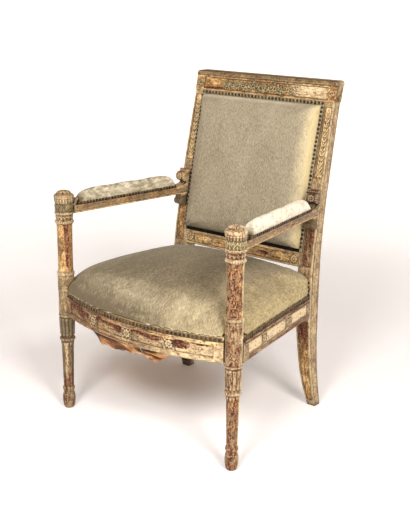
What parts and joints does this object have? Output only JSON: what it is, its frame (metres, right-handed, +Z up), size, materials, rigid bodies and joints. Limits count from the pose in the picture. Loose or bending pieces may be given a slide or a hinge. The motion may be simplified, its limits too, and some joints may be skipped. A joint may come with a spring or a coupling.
{
  "type": "fauteuil",
  "caption": "Open armchair of carved, painted and gilded wood with turned front posts, sabre rear legs, and a nailed velvet seat, back and arm pads.",
  "frame": {"origin": "on the floor under the middle of the chair's plan", "axes": "+Z up, the chair faces -Y, +X to the right of a person who stands in front and looks at it"},
  "size_m": [0.6564, 0.6332, 0.951],
  "materials": {
    "painted_wood": "worn cream paint with gilding rubbed to the red ground",
    "gilded_wood": "worn gilding over a red ground with grey-green patina",
    "raw_wood": "bare aged beech",
    "velvet": "worn grey-green velvet",
    "pale_velvet": "velvet rubbed pale",
    "gimp": "woven braid",
    "burlap": "coarse jute",
    "webbing": "jute webbing",
    "stuffing": "horsehair",
    "lining": "thin dusty cotton",
    "torn_leather": "dry and cracked",
    "nails": "dark aged bronze, rubbed on top"
  },
  "bodies": {
    "root": {"arm_left": "gilded_wood", "arm_pad_cover_left": "pale_velvet", "arm_pad_cover_right": "pale_velvet", "arm_pad_gimp_left": "gimp", "arm_pad_gimp_right": "gimp", "arm_pad_stuffing_left": "stuffing", "arm_pad_stuffing_right": "stuffing", "arm_right": "gilded_wood", "back_burlap": "burlap", "back_cover": "velvet", "back_gimp": "gimp", "back_seat_rail": "raw_wood", "back_stuffing": "stuffing", "crest_rail": "gilded_wood", "front_post_left": "painted_wood", "front_post_right": "painted_wood", "front_seat_rail": "painted_wood", "lower_back_rail": "gilded_wood", "outside_back_cover": "velvet", "outside_back_gimp": "gimp", "peg_arm_front_left": "raw_wood", "peg_arm_front_right": "raw_wood", "peg_arm_rear_left": "raw_wood", "peg_arm_rear_right": "raw_wood", "peg_crest_left": "raw_wood", "peg_crest_right": "raw_wood", "peg_leg_back_rail_left": "raw_wood", "peg_leg_back_rail_right": "raw_wood", "peg_leg_side_rail_left": "raw_wood", "peg_leg_side_rail_right": "raw_wood", "peg_lower_back_rail_left": "raw_wood", "peg_lower_back_rail_right": "raw_wood", "peg_post_front_rail_left": "raw_wood", "peg_post_front_rail_right": "raw_wood", "peg_post_side_rail_left": "raw_wood", "peg_post_side_rail_right": "raw_wood", "rear_leg_left": "painted_wood", "rear_leg_right": "painted_wood", "seat_burlap": "burlap", "seat_cover": "velvet", "seat_gimp_back": "gimp", "seat_gimp_front": "gimp", "seat_gimp_left": "gimp", "seat_gimp_right": "gimp", "seat_lining": "lining", "seat_stuffing": "stuffing", "side_seat_rail_left": "painted_wood", "side_seat_rail_right": "painted_wood", "torn_flap_left": "torn_leather", "torn_flap_right": "torn_leather", "webbing_crosswise_1": "webbing", "webbing_crosswise_2": "webbing", "webbing_crosswise_3": "webbing", "webbing_lengthwise_1": "webbing", "webbing_lengthwise_2": "webbing", "webbing_lengthwise_3": "webbing", "webbing_lengthwise_4": "webbing"}
  },
  "joints": []
}
